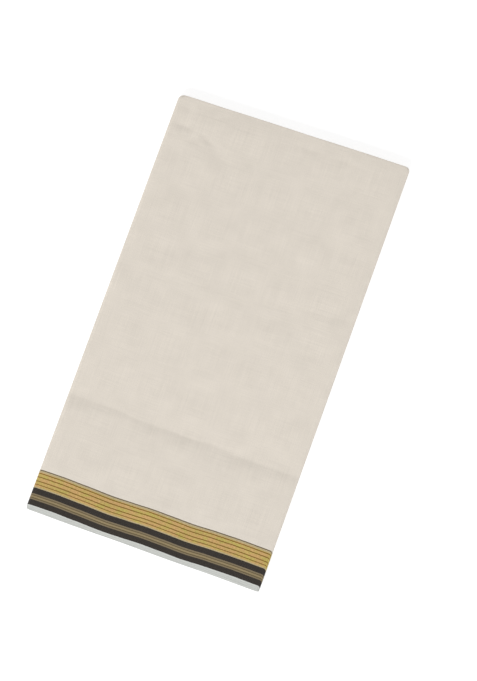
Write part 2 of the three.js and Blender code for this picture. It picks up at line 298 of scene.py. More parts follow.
def in_plan(x, y):
    """A plain x and y moved to the real plan: x is squeezed between the rounded corners, and the
    corner shift is added to both."""
    u = (x + HALF_WIDTH) / LEAF_WIDTH
    v = (y + HALF_LENGTH) / LEAF_LENGTH
    from_fold = HALF_LENGTH - y
    spine = -HALF_WIDTH + corner_cut(SPINE_CORNER, from_fold)
    fore = HALF_WIDTH - corner_cut(FORE_CORNER, from_fold)
    real_x = mix(spine, fore, u) + corner_shift(u, v, 0) + RECTANGLE_MIDDLE[0]
    return real_x, y + corner_shift(u, v, 1) + RECTANGLE_MIDDLE[1]


middle_of_hem = in_plan(np.zeros(1), np.full(1, -HALF_LENGTH))
print("the middle of the hem lies at", [round(float(v[0]) / MM, 1) for v in middle_of_hem], "mm")

# %% [markdown]
# ## The creases of the top leaf
#
# Before it was laid flat the bundle had been folded smaller on a shelf, and two creases across the
# top are left of that. The one nearer the hem is deep: the cloth sinks slowly towards it from the
# side of the long fold and rises steeply out of it towards the hem. The other is hardly more than a
# line that wanders and breaks off. Near the rounded corners the cloth puckers. Sculpting could make
# them, but here each crease is a row of a table: a trough whose depth falls off as the square of
# the distance left, with its own reach on each side, and none is equally deep all along.

# %% The table of creases, in mm
# at: distance from the long fold at mid-width. slant: how much further at the fore-edge than at the
# spine. depth: at its bottom. fold, hem: reach on either side. start, end: across, as shares of the
# half width. fade: the share over which it dies out. wave: how far it wanders. The columns' order:
CREASE_COLUMNS = ("at", "slant", "depth", "fold", "hem", "start", "end", "fade", "wave")
CREASE_ROWS = [
    # the strong crease near the hem: a broad hollow, the crease, and its deeper parts
    (443, 8, 1.70, 380, 170, -1.3, 1.3, 0.1, 0.0),
    (443, 8, 0.95, 250, 25, -1.3, 1.3, 0.1, 1.0),
    (443, 7, 0.36, 60, 11, -1.3, 1.3, 0.9, 1.2),
    (441, 4, 0.21, 30, 10, 0.1, 1.3, 0.5, 0.8),
    # the faint one across the middle, with three stronger runs and a short one that crosses it
    (227.5, 5, 0.10, 60, 11, -1.3, 1.3, 0.1, 1.2),
    (225, -8, 0.20, 25, 9, -1.1, -0.45, 0.25, 1.0),
    (232.5, 0, 0.32, 24, 9, 0.22, 0.52, 0.14, 0.8),
    (239, -34, 0.28, 25, 9, 0.46, 1.2, 0.14, 0.8),
    (239, -20, 0.16, 20, 8, -0.5, 0.25, 0.2, 0.8),
    # puckers by the corner of the spine and the long fold
    (41, 0, 0.80, 20, 9, -1.00, -0.76, 0.09, 0.4),
    (88, 120, 0.75, 18, 9, -0.78, -0.56, 0.08, 0.4),
    (53, -8, 0.60, 16, 8, -0.84, -0.68, 0.07, 0.3),
    (18, 4, 0.45, 14, 8, -1.02, -0.84, 0.07, 0.4),
    (-16, -105, 0.42, 13, 7, -0.69, -0.51, 0.07, 0.3),
    (20, 0, 0.30, 12, 8, -0.15, 0.35, 0.20, 1.0),
    # and by the corner of the fore-edge and the long fold
    (16, 10, 0.32, 10, 9, 0.30, 0.70, 0.20, 1.0),
    (66, 16, 0.30, 22, 12, 0.35, 1.00, 0.25, 1.5),
]
CREASES = [dict(zip(CREASE_COLUMNS, row)) for row in CREASE_ROWS]
print(len(CREASES), "creases, the deepest", max(crease["depth"] for crease in CREASES), "mm")

# %% One crease
CREASE_ROUNDING = 2.4  # radius of a crease's bottom, in mm
CREASE_UNEVENNESS = 0.22  # how much deeper and shallower it gets along its length
UNEVEN_PACE, UNEVEN_SEED = 1.7, 0.6  # that change's pace and seed, beside those of the wander
WANDER_LONG, WANDER_SHORT = 7.1, 16.3  # radians that its two waves turn in half a width
SHORT_SHARE, SHORT_SEED = 0.6, 2.3  # size and seed of the shorter wave beside the longer one's


def wander(across, size, seed):
    """Two sine waves across the leaf, sin(7a + s) + 0.6 sin(16a + 2.3s), so no crease is ruled."""
    long_wave = np.sin(WANDER_LONG * across + seed)
    short_wave = np.sin(WANDER_SHORT * across + SHORT_SEED * seed)
    return size * (long_wave + SHORT_SHARE * short_wave)


def trough(crease, across, from_fold):
    """A crease's depth at a place: depth * (1 - d / reach)^2, where the distance d from its line is
    rounded off near the bottom by a radius r, as sqrt(d^2 + r^2) - r, times its two soft ends."""
    line = crease["at"] + crease["slant"] * across / 2 + wander(across, crease["wave"], crease["at"])
    past = from_fold - line
    reach = np.where(past < 0, crease["fold"], crease["hem"])
    distance = np.sqrt(past**2 + CREASE_ROUNDING**2) - CREASE_ROUNDING
    profile = np.clip(1 - distance / reach, 0, 1) ** 2
    begins = smooth((across - crease["start"]) / crease["fade"])
    ends = smooth((crease["end"] - across) / crease["fade"])
    change = wander(UNEVEN_PACE * across, CREASE_UNEVENNESS, UNEVEN_SEED * crease["at"])
    uneven = 1 + change / (1 + SHORT_SHARE)
    return crease["depth"] * profile * begins * ends * uneven


core = CREASES[1]
core_depth = float(trough(core, 0.0, core["at"]))
print("the table's second row alone is", round(core_depth, 2), "mm deep at mid-width")

# %% All creases, and the soft fall towards the edges
# how far the top sinks at each edge, and from how far in, in mm
EDGE_SINK = {"long_fold": (0.9, 40), "hem": (0.6, 40), "spine": (0.3, 30), "fore_edge": (0.8, 40)}


def sink(x, y):
    """How far the top surface lies below its full height: all troughs added up, and towards each
    edge a fall of depth * (1 - distance / reach)^2."""
    across = x / HALF_WIDTH
    from_fold = (HALF_LENGTH - y) / MM
    total = sum(trough(crease, across, from_fold) for crease in CREASES)
    inside = {
        "long_fold": from_fold,
        "hem": LEAF_LENGTH / MM - from_fold,
        "spine": (x + HALF_WIDTH) / MM,
        "fore_edge": (HALF_WIDTH - x) / MM,
    }
    for edge, (depth, reach) in EDGE_SINK.items():
        total += depth * np.clip(1 - inside[edge] / reach, 0, 1) ** 2
    return total * MM


mid_line = np.linspace(-HALF_LENGTH, HALF_LENGTH, 600)
deepest = sink(np.zeros_like(mid_line), mid_line).max()
print("the strong crease is", round(deepest / MM, 1), "mm deep at mid-width")

# %% [markdown]
# Between the creases the cloth isn't flat either. It keeps soft, shallow ripples from the loom and
# from the hands, far too slight to see as shapes, but enough to make the light uneven. A sum of many
# low waves in all directions does that: each has its own direction, length and phase, drawn from a
# seeded generator, and a height in proportion to its length, so the slopes are all alike.

# %% Ripples
rng = np.random.default_rng(7)
RIPPLES = 46
RIPPLE_SLOPE = 0.0052  # slope of each single wave
ripple_length = rng.uniform(16, 75, RIPPLES) * MM
ripple_angle = rng.uniform(0, np.pi, RIPPLES)
ripple_phase = rng.uniform(0, 2 * np.pi, RIPPLES)


def ripples(x, y):
    """The sum over all waves of height * sin(2 pi * distance along its direction / length + phase)."""
    total = np.zeros_like(x)
    for length, angle, phase in zip(ripple_length, ripple_angle, ripple_phase):
        height = RIPPLE_SLOPE * length / (2 * np.pi)
        total += height * np.sin(2 * np.pi * (x * np.cos(angle) + y * np.sin(angle)) / length + phase)
    return total


ripple_sample = ripples(np.linspace(-HALF_WIDTH, HALF_WIDTH, 400), np.zeros(400))
print("ripples stand", round(float(np.ptp(ripple_sample)) / MM, 2), "mm from crest to trough")

# %% [markdown]
# Nor do the leaves lie at even distances. In some places they are packed, in others there is air
# between them. A wave that depends on the height itself does this to the whole stack at once: it
# moves neighbouring leaves together here and apart there. Its slope is well below 1, so no leaf can
# pass another, and it dies out at the top and at the bottom.

# %% Packed and loose leaves
CROWDING = 0.17 * MM
CROWDING_LENGTH = 2.7 * MM  # height of a packed and a loose place together
CROWDING_CALM = 3 * MM  # the top and bottom layer that it leaves alone
DRIFT = (0.31, 0.43)  # metres in x and y over which packed and loose change places and back
SWING_X, SWING_Y = (0.9, 0.12), (1.2, 0.17)  # radians that the drift sways, and over how many metres


def crowding(x, y, z):
    """size * sin(2 pi z / length + phase), the phase drifting and swaying over the plan."""
    phase = 2 * np.pi * (x / DRIFT[0] + y / DRIFT[1])
    phase = phase + SWING_Y[0] * np.sin(2 * np.pi * y / SWING_Y[1])
    phase = phase + SWING_X[0] * np.sin(2 * np.pi * x / SWING_X[1])
    inside = smooth(z / CROWDING_CALM) * smooth((STACK_HEIGHT - z) / CROWDING_CALM)
    return CROWDING * inside * np.sin(2 * np.pi * z / CROWDING_LENGTH + phase)


steepest = 2 * np.pi * CROWDING / CROWDING_LENGTH
print("crowding squeezes a gap by at most", round(100 * steepest), "percent")

# %% From the plain place of a point to its real one
SINK_LOW = 3.0 * MM  # below this height nothing sinks
SINK_HIGH = 13.8 * MM  # above it everything sinks by the full amount
RIPPLED_FROM = 0.7  # share of the height from which leaves begin to be rippled


def real_place(x, y, z):
    """The one mapping that all sheets go through: the sink in proportion to the height, the ripples
    near the top, the crowding, and the real plan."""
    sinking = np.clip((z - SINK_LOW) / (SINK_HIGH - SINK_LOW), 0, 1)
    rippling = np.clip((z / STACK_HEIGHT - RIPPLED_FROM) / (1 - RIPPLED_FROM), 0, 1)
    real_z = z - sinking * sink(x, y) - rippling * ripples(x, y) + crowding(x, y, z)
    real_x, real_y = in_plan(x, y)
    return np.stack([real_x, real_y, real_z], axis=-1)


corner = real_place(np.array([HALF_WIDTH]), np.array([-HALF_LENGTH]), np.array([0.0]))
print("the corner of fore-edge and hem goes to", np.round(corner[0] / MM, 1), "mm")

# %% [markdown]
# ## A sheet of folded cloth
#
# Across its width the cloth runs from one selvedge along the upper sheet of a leaf to the long fold,
# round it, and back along the lower sheet to the other selvedge. That profile has two numbers at each
# point: how far along the leaf it is, and how far to one side of the leaf's middle. Carried along the
# path through the bundle, it makes the whole surface, and a grid of its points is the mesh. Where the
# creases are sharp the points lie close together.

# %% Rows of points along a leaf
ROW_SAMPLES = 6001
ROW_BLEND = 10  # mm over which the spacing changes


def rows_from_hem(coarse, close_places):
    """Shares of the leaf's length from the hem to the fold. The wanted spacing is `coarse`, and
    closer in some places, each given by its middle, how far it reaches, and its own spacing. The
    spacing's reciprocal is how many rows a millimetre gets; summed up along the leaf, that is read
    backwards at even steps."""
    from_fold = np.linspace(0, LEAF_LENGTH / MM, ROW_SAMPLES)
    spacing = np.full_like(from_fold, coarse)
    for middle, reach, close in close_places:
        outside = smooth((np.abs(from_fold - middle) - reach) / ROW_BLEND)
        spacing = np.minimum(spacing, mix(close, coarse, outside))
    count = np.concatenate([[0], np.cumsum(1 / spacing[1:] * np.diff(from_fold))])
    steps = int(round(count[-1]))
    return 1 - np.interp(np.linspace(count[-1], 0, steps + 1), count, from_fold) / from_fold[-1]


# %% Rows on the top leaf, on the others that show, and on the hidden ones
# close together round the long fold, among the puckers, and along both creases
fine_rows = rows_from_hem(4.6, [(0, 8, 0.9), (38, 24, 1.7), (234, 13, 1.0), (449, 13, 0.9)])
plain_rows = rows_from_hem(16, [(0, 12, 1.5)])
coarse_rows = rows_from_hem(30, [(0, 12, 2)])
print("rows on the top leaf:", len(fine_rows), "on the others:", len(plain_rows), len(coarse_rows))

# %% [markdown]
# No two leaves end at the same place. At the hem the selvedges are up to three millimetres apart, and
# the top sheet's, which was laid down last, falls short of all others by about half a centimetre, in
# a slow wave. So a pale strip of the sheets below it shows past its edge.

# %% How far each leaf falls short, in mm
edge_rng = np.random.default_rng(21)
fold_short = edge_rng.uniform(0.6, 2.6, LEAVES)
hem_short_upper = edge_rng.uniform(0.2, 3.4, LEAVES)
hem_short_lower = edge_rng.uniform(0.2, 3.4, LEAVES)
# those that show are given one by one: the outer stretch, panels 0 to 2, and the second one, panel 14
fold_short[:2] = 0.3, 0.0
hem_short_upper[:3] = 1.4, 0.0, 0.4
hem_short_lower[:3] = 2.2, 1.9, 0.2
hem_short_upper[LAST - 1] = 0.8
hem_short_lower[LAST - 1] = 0.1
print("the leaves' lower sheets end", np.round(hem_short_lower, 1), "mm inside the outline")

# %% The line of an edge along the path
EDGE_WAVE = 0.22  # mm that each edge swings to either side
EDGE_WAVE_LENGTH = 0.13  # metres from crest to crest
EDGE_SEED = 1.7  # phase of the wave for each millimetre that the leaf falls short


def edge_line(short, path, seed):
    """Millimetres short of the outline at each point of a path: the panel's own value, carried over
    smoothly round a turn, and a slow wave along the leaf."""
    x, _, panel = path.T
    whole = np.floor(panel)
    own = np.interp(whole + smooth(panel - whole), np.arange(LEAVES), short)
    return own + EDGE_WAVE * np.sin(2 * np.pi * x / EDGE_WAVE_LENGTH + EDGE_SEED * own + seed)


print("an edge swings", 2 * EDGE_WAVE, "mm in all")

# %% The top sheet's selvedge, drawn through listed places
# share of the width from the spine, and mm short of the outline
TOP_HEM = [
    (0.00, 4.85), (0.09, 5.0), (0.20, 4.2), (0.32, 3.35), (0.40, 3.9), (0.48, 4.55), (0.56, 4.2),
    (0.65, 3.9), (0.76, 5.4), (0.85, 5.65), (1.00, 5.1),
]
STANDS_OUT = 2.6  # mm that the lower sheet of the top leaf shows past the upper one
FORE_BEND = 1.6  # how much faster that selvedge bends back to the others at the fore-edge
UPPER_SEED, LOWER_SEED, FOLD_SEED = 1.1, 2.9, 0.4  # phases of the waves of both selvedges and the fold


def drawn_line(places, x):
    """A line drawn through a few places, each a share of the width and a value, with an
    S-curve from each place to the next."""
    shares, values = np.array(places).T
    share = np.clip((x + HALF_WIDTH) / LEAF_WIDTH, 0, 1)
    step = np.clip(np.searchsorted(shares, share, side="right") - 1, 0, len(shares) - 2)
    part = (share - shares[step]) / (shares[step + 1] - shares[step])
    return mix(values[step], values[step + 1], smooth(part))


def hem_lines(path):
    """The y of both selvedges at each point of a path. On the top leaf, panel 1, the drawn line is
    used, and it gives way to the panels' own values as the cloth turns down on either side."""
    x, _, panel = path.T
    turning_down = np.where(panel > 1, FORE_BEND, 1) * np.abs(panel - 1)
    on_top = smooth(1 - turning_down)
    drawn = drawn_line(TOP_HEM, x)
    upper = edge_line(hem_short_upper, path, UPPER_SEED) + on_top * drawn
    lower = mix(edge_line(hem_short_lower, path, LOWER_SEED), drawn - STANDS_OUT, on_top)
    return -HALF_LENGTH + MM * upper, -HALF_LENGTH + MM * lower


top_hem_mm = (hem_lines(outer_path)[0] + HALF_LENGTH) / MM
print("the top sheet's selvedge ends up to", round(float(top_hem_mm.max()), 1), "mm inside the outline")

# %% The fold and both sheets of a leaf
FOLD_REACH = 0.9 * MM  # how far the long fold's turn stands out
FOLD_STEPS = 8
fold_angle = np.linspace(0, np.pi, FOLD_STEPS + 1)[1:-1]


def leaf_rows(path, rows_upper, rows_lower):
    """The y of every row at every point of a path: along the upper sheet from the selvedge to the
    fold, round half an ellipse, and back along the lower sheet. And the distance of every row from
    the first selvedge, measured along the cloth."""
    hem_upper, hem_lower = hem_lines(path)
    fold_inside = np.maximum(edge_line(fold_short, path, FOLD_SEED), 0)
    fold = HALF_LENGTH - FOLD_REACH - MM * fold_inside
    upper = mix(hem_upper[:, None], fold[:, None], rows_upper[None, :])
    turn = fold[:, None] + FOLD_REACH * np.sin(fold_angle)[None, :]
    lower = mix(fold[:, None], hem_lower[:, None], 1 - rows_lower[None, ::-1])

    from_upper = upper - hem_upper[:, None]
    from_lower = CLOTH_WIDTH - (lower - hem_lower[:, None])
    round_fold = mix(from_upper[:, -1:], from_lower[:, :1], (fold_angle / np.pi)[None, :])
    return np.hstack([upper, turn, lower]), np.hstack([from_upper, round_fold, from_lower])


print("the top leaf's profile has", len(fine_rows) + len(fold_angle) + len(plain_rows), "points")

# %% From path and rows to a grid of points


def folded_cloth(path, rows_upper, rows_lower):
    """The points of a stretch, as a grid of path points by rows, and their place on the flat cloth.

    The path's normal at each point is its direction turned by a quarter. A point of the sheet is the
    path point plus the normal times its side offset: half a leaf's gap up on the upper sheet, as much
    down on the lower one, and the cosine of the angle between them round the fold.
    """
    x, height, _ = path.T
    direction = np.gradient(path[:, :2], axis=0)
    direction /= np.linalg.norm(direction, axis=1)[:, None]
    normal = np.column_stack([-direction[:, 1], direction[:, 0]])
    y, from_selvedge = leaf_rows(path, rows_upper, rows_lower)
    side = np.concatenate([np.ones(len(rows_upper)), np.cos(fold_angle), -np.ones(len(rows_lower))])
    side *= SHEET_OFFSET
    plain_x = x[:, None] + normal[:, :1] * side[None, :]
    plain_z = height[:, None] + normal[:, 1:] * side[None, :]
    along = np.broadcast_to(path_lengths(path)[:, None], y.shape)
    return real_place(plain_x, y, plain_z), np.stack([along, from_selvedge], axis=-1)


# %% A mesh from a grid of points


def grid_mesh(name, points, flat):
    """A mesh with one vertex for each point of the grid and one face for each cell, whose UV map
    holds each corner's place on the flat cloth, in metres."""
    rows, columns = points.shape[:2]
    index = np.arange(rows * columns).reshape(rows, columns)
    cells = np.stack([index[:-1, :-1], index[1:, :-1], index[1:, 1:], index[:-1, 1:]], axis=-1)
    faces = cells.reshape(-1, 4)
    mesh = bpy.data.meshes.new(name)
    mesh.from_pydata(points.reshape(-1, 3).tolist(), [], faces.tolist())
    layer = mesh.uv_layers.new(name="Flat cloth")
    layer.uv.foreach_set("vector", flat.reshape(-1, 2)[faces.ravel()].astype(np.float32).ravel())
    mesh.shade_smooth()
    piece = bpy.data.objects.new(name, mesh)
    bpy.context.scene.collection.objects.link(piece)
    print(name, "has", len(faces), "faces")
    return piece


# %% [markdown]
# The grid is a surface without thickness, and a real selvedge is a firm, cut-looking edge of one yarn.
# Solidify gives both sheets their wall. Its result is kept as the mesh itself, so that the corners
# between the wall's faces can be marked sharp: shaded smooth, they would look swollen.

# %% A yarn's thickness
SHARP_EDGE = math.radians(50)


def give_thickness(piece):
    """Solidify turns the surface into a closed wall of one yarn's thickness, half on each side. Its
    result becomes the piece's mesh, and edges sharper than SHARP_EDGE are shaded as cut edges."""
    wall = piece.modifiers.new("Yarn thickness", "SOLIDIFY")
    wall.thickness = YARN_THICKNESS
    wall.offset = 0
    wall.use_even_offset = False
    evaluated = piece.evaluated_get(bpy.context.evaluated_depsgraph_get())
    walled = bpy.data.meshes.new_from_object(evaluated)
    surface = piece.data
    piece.modifiers.clear()
    piece.data = walled
    bpy.data.meshes.remove(surface)
    walled.set_sharp_from_angle(angle=SHARP_EDGE)


# %% The three stretches as meshes
stretches = {
    "outer_cloth": (outer_path, fine_rows, plain_rows),
    "second_cloth": (second_path, plain_rows, plain_rows),
    "hidden_cloth": (hidden_path, coarse_rows, coarse_rows),
}
pieces = {}
for name, (path, rows_upper, rows_lower) in stretches.items():
    points, flat = folded_cloth(path, rows_upper, rows_lower)
    pieces[name] = grid_mesh(name, points, flat)
    give_thickness(pieces[name])

# %% [markdown]
# ## The finish: a striped border and plain weave
#
# The cloth is unbleached cotton in plain weave: each thread passes over one and under the next. Its
# border is part of the weave. Along both selvedges some of the lengthwise threads are black and some
# are wound with dull gold, so the stripes run along the cloth for ever and never across it. That makes
# the colour a function of one number, the distance from the nearer selvedge, which comes from the UV
# map in metres. First come a few helpers, so that a sum of nodes reads like a formula.

# %% Numbers and sums in a node tree


def feed(tree, value, socket):
    """Puts a number or colour into a socket, or links another node's output to it."""
    if isinstance(value, bpy.types.NodeSocket):
        tree.links.new(value, socket)
    else:
        socket.default_value = value


def math_node(tree, operation, a, b=0.0, clamp=False):
    """One Math node's result."""
    node = tree.nodes.new("ShaderNodeMath")
    node.operation = operation
    node.use_clamp = clamp
    feed(tree, a, node.inputs[0])
    feed(tree, b, node.inputs[1])
    return node.outputs[0]


def plus(tree, a, b):
    """The sum a + b."""
    return math_node(tree, "ADD", a, b)


def times(tree, a, b):
    """The product a * b."""
    return math_node(tree, "MULTIPLY", a, b)


def mixed_numbers(tree, a, b, share):
    """a where share is 0, b where it is 1, and in proportion between them: a + (b - a) * share."""
    return plus(tree, a, times(tree, math_node(tree, "SUBTRACT", b, a), share))


# %% Noise on the flat cloth


def noise_node(tree, along, across, grain, detail=2.0):
    """Noise from 0 to 1 on the flat cloth, whose grains are `grain` metres long and wide."""
    place = tree.nodes.new("ShaderNodeCombineXYZ")
    feed(tree, math_node(tree, "DIVIDE", along, grain[0]), place.inputs[0])
    feed(tree, math_node(tree, "DIVIDE", across, grain[1]), place.inputs[1])
    node = tree.nodes.new("ShaderNodeTexNoise")
    node.inputs["Scale"].default_value = 1.0
    node.inputs["Detail"].default_value = detail
    tree.links.new(place.outputs[0], node.inputs["Vector"])
    return node.outputs["Fac"]


def swing(tree, noise, size, middle=0.0):
    """A noise value from 0 to 1 as a swing of `size` to either side of `middle`:
    noise * 2 size + middle - size."""
    return plus(tree, times(tree, noise, 2 * size), middle - size)


# %% [markdown]
# The border from the selvedge in: a grey-green selvedge with painted shade along its very edge,
# black, a bronze band shaded like a cord, black again, and a broad band of dull gold with four fine
# dark lines and a last, darker one. Both borders are alike, because a weaver sets up the loom the
# same on both sides.

# %% Colours and stripes
COTTON = (0.686, 0.630, 0.556, 1)
SELVEDGE = (0.560, 0.572, 0.546, 1)
# painted shade: the outermost 0.7 mm of each selvedge is darker, standing in for the shadow at the step
# down to the sheet below
SELVEDGE_EDGE_SHADE = (0.490, 0.502, 0.480, 1)
BLACK = (0.0148, 0.0108, 0.0080, 1)
GOLD = (0.558, 0.346, 0.130, 1)
GREEN_GOLD = (0.478, 0.388, 0.094, 1)
PALE_GOLD = (0.465, 0.375, 0.210, 1)
GOLD_LINE = (0.190, 0.105, 0.006, 1)
TOP_LINE = (0.120, 0.092, 0.050, 1)
BRONZE = (0.193, 0.149, 0.086, 1)
BRONZE_LIGHT = (0.258, 0.196, 0.101, 1)
BRONZE_SHADE = (0.099, 0.073, 0.029, 1)

# each row in mm from the selvedge
STRIPES = [
    # painted shade along the selvedge's very edge
    {"from": 0.0, "colour": SELVEDGE_EDGE_SHADE},
    {"from": 0.7, "colour": SELVEDGE},
    {"from": 2.8, "colour": BLACK},
    {"from": 10.75, "colour": BRONZE},
    {"from": 12.3, "colour": BRONZE_SHADE},
    {"from": 13.6, "colour": BRONZE_LIGHT},
    {"from": 16.1, "colour": BRONZE_SHADE},
    {"from": 17.3, "colour": BRONZE},
    {"from": 19.0, "colour": BLACK},
    {"from": 27.4, "colour": PALE_GOLD},
    {"from": 28.9, "colour": GOLD},
]
LINES_IN_GOLD = [32.15, 36.9, 42.75, 47.9]  # the middle of each
LINE_WIDTH = 1.25
for middle in LINES_IN_GOLD:
    STRIPES.append({"from": middle - LINE_WIDTH / 2, "colour": GOLD_LINE})
    STRIPES.append({"from": middle + LINE_WIDTH / 2, "colour": GOLD})
TOP_BAND = 49.6
LAST_LINE = {"from": 51.85, "width": 1.4}
STRIPES.append({"from": TOP_BAND, "colour": PALE_GOLD})
STRIPES.append({"from": LAST_LINE["from"], "colour": TOP_LINE})
STRIPES.append({"from": LAST_LINE["from"] + LAST_LINE["width"], "colour": COTTON})
print("the border has", len(STRIPES) - 1, "stripes and is", STRIPES[-1]["from"], "mm wide")

# %% From stripes to nodes
BORDER_SPAN = 60.0  # mm that the colour ramp covers


def stripe_ramp(tree, from_selvedge, rows):
    """A colour ramp with hard steps: each row's colour holds from its distance on."""
    node = tree.nodes.new("ShaderNodeValToRGB")
    ramp = node.color_ramp
    ramp.interpolation = "CONSTANT"
    while len(ramp.elements) < len(rows):
        ramp.elements.new(1.0)
    for element, row in zip(ramp.elements, rows):
        element.position = row["from"] / BORDER_SPAN
        element.color = row["colour"]
    feed(tree, math_node(tree, "DIVIDE", from_selvedge, BORDER_SPAN * MM), node.inputs[0])
    return node.outputs["Color"]


def mix_colours(tree, a, b, share):
    """Colour a where share is 0, b where it is 1."""
    node = tree.nodes.new("ShaderNodeMix")
    node.data_type = "RGBA"
    feed(tree, share, node.inputs["Factor"])
    feed(tree, a, node.inputs[6])  # the Mix node's sockets for two colours, and its colour result
    feed(tree, b, node.inputs[7])
    return node.outputs[2]


def recoloured(swaps, others=None):
    """The stripes with some colours swapped, and all others too if a colour is given for them."""
    return [{**row, "colour": swaps.get(row["colour"], others or row["colour"])} for row in STRIPES]


# %% The border's colour and its gilt
WHITE, NOTHING = (1, 1, 1, 1), (0, 0, 0, 1)
UNSTEADY = 0.25 * MM  # how far a stripe's side strays
UNSTEADY_GRAIN = (3 * MM, 9 * MM)
HUE_GRAIN = (13 * MM, 6 * MM)  # size of the warmer and greener places in the gold
HUE_MIDDLE, HUE_CONTRAST = 0.42, 4.5


def border(tree, along, across):
    """Two results: the lengthwise threads' colour, and 1 where they are wound with gold. Both come
    from the smaller of the distances to the two selvedges. The gold drifts between a warm and a
    greenish shade, as worn gilt thread does."""
    from_selvedge = math_node(tree, "MINIMUM", across, math_node(tree, "SUBTRACT", CLOTH_WIDTH, across))
    stray = swing(tree, noise_node(tree, along, across, UNSTEADY_GRAIN), UNSTEADY)
    distance = plus(tree, from_selvedge, stray)
    warm = stripe_ramp(tree, distance, STRIPES)
    greenish = stripe_ramp(tree, distance, recoloured({GOLD: GREEN_GOLD}))
    gilt = stripe_ramp(tree, distance, recoloured({GOLD: WHITE, PALE_GOLD: WHITE}, others=NOTHING))
    above_middle = math_node(tree, "SUBTRACT", noise_node(tree, along, across, HUE_GRAIN), HUE_MIDDLE)
    greener = math_node(tree, "MULTIPLY", above_middle, HUE_CONTRAST, clamp=True)
    return mix_colours(tree, warm, greenish, greener), gilt


# %% [markdown]
# Plain weave is a chessboard: in one cell the lengthwise thread lies on top, in the next the crosswise
# one. Each thread is round, so it is highest along its own middle and lowest at its sides, where the
# next one begins and a little shadow gathers. The crosswise threads are cream all along, also where
# the lengthwise ones are black or gold, so tiny specks of cream show in the border.

# %% The plain weave
THREAD_PITCH = 0.36 * MM
THREAD_WANDER = 0.25 * MM  # how far hand-spun threads stray from even spacing
WANDER_GRAIN = (9 * MM, 1.1 * MM)  # along a thread, and across it
CELL_CONTRAST = 5.0  # how sharply one cell of the chessboard gives way to the next


def plain_weave(tree, along, across):
    """Two numbers: whether the lengthwise thread is on top, which is where the product of two sines
    at twice the thread pitch is above 0, and the height of the top thread, |sin| across it. Noise
    drawn out along each thread is added to its place first, so that no thread is ruled."""
    half_turn = math.pi / THREAD_PITCH
    stray_along = noise_node(tree, along, across, WANDER_GRAIN[::-1])
    stray_across = noise_node(tree, along, across, WANDER_GRAIN)
    thread_along = plus(tree, along, times(tree, stray_along, THREAD_WANDER))
    thread_across = plus(tree, across, times(tree, stray_across, THREAD_WANDER))
    wave_along = math_node(tree, "SINE", times(tree, thread_along, half_turn))
    wave_across = math_node(tree, "SINE", times(tree, thread_across, half_turn))
    chessboard = times(tree, times(tree, wave_along, wave_across), CELL_CONTRAST)
    lengthwise_on_top = math_node(tree, "ADD", chessboard, 0.5, clamp=True)
    lengthwise_height = math_node(tree, "ABSOLUTE", wave_across)
    crosswise_height = math_node(tree, "ABSOLUTE", wave_along)
    height = mixed_numbers(tree, crosswise_height, lengthwise_height, lengthwise_on_top)
    return lengthwise_on_top, height


# %% [markdown]
# Hand-spun yarn is thick in one place and thin in the next. Such slubs are noise drawn out along the
# threads, once lengthwise and once crosswise, and the two are multiplied. Larger, fainter patches come
# from the hand that beat the threads together, now harder and now softer, and the gilt thread glints.

# %% Slubs, patches and glints
SLUB_LENGTH, SLUB_WIDTH = 60 * MM, 0.9 * MM
SLUB_CONTRAST = 0.085
PATCH_SIZE = 24 * MM
PATCH_CONTRAST = 0.055
GLINT_GRAIN = (2.6 * MM, 0.6 * MM)
GLINT_CONTRAST = 0.5
THREAD_SHADOW = 0.2  # how much darker the cloth is between two threads
MEAN_HEIGHT = 0.64  # of the top thread, where that shadow changes nothing


def slub_tone(tree, along, across):
    """Two swings about 1 multiplied, drawn out along one kind of thread and along the other."""
    lengthwise = noise_node(tree, along, across, (SLUB_LENGTH, SLUB_WIDTH))
    crosswise = noise_node(tree, along, across, (SLUB_WIDTH, SLUB_LENGTH))
    lengthwise_tone = swing(tree, lengthwise, SLUB_CONTRAST, middle=1.0)
    return times(tree, lengthwise_tone, swing(tree, crosswise, SLUB_CONTRAST, middle=1.0))


def mottle_tone(tree, along, across, gilt, height):
    """A swing about 1 in patches, plus glints where there is gilt, plus the shadow between threads,
    which grows with how far the top thread lies below its mean height."""
    patches = noise_node(tree, along, across, (PATCH_SIZE, PATCH_SIZE), detail=4)
    glints = swing(tree, noise_node(tree, along, across, GLINT_GRAIN, detail=1), GLINT_CONTRAST)
    shadow = times(tree, math_node(tree, "SUBTRACT", height, MEAN_HEIGHT), THREAD_SHADOW)
    patch_tone = swing(tree, patches, PATCH_CONTRAST, middle=1.0)
    return plus(tree, plus(tree, patch_tone, times(tree, glints, gilt)), shadow)


# %% [markdown]
# Last, all of it goes into one shader. Cotton is matt with a faint sheen of loose fibres, and only the
# gilt threads are a little metallic and smoother. The threads' height and the slubs also drive a bump,
# so that the weave still reads as cloth from close by, although it is too fine to model.

# %% The cotton material
CREAM_SPECKS = 0.05  # how much of the cream crosswise threads shows in the border
BUMP_STRENGTH, BUMP_DISTANCE = 0.4, 0.06 * MM
SLUB_HEIGHT = 2.0  # of a slub in the bump, beside a thread's own height
COTTON_ROUGHNESS, GILT_ROUGHNESS = 0.85, 0.55
GILT_METAL = 0.3
SHEEN, SHEEN_ROUGHNESS, SPECULAR = 0.05, 0.5, 0.25


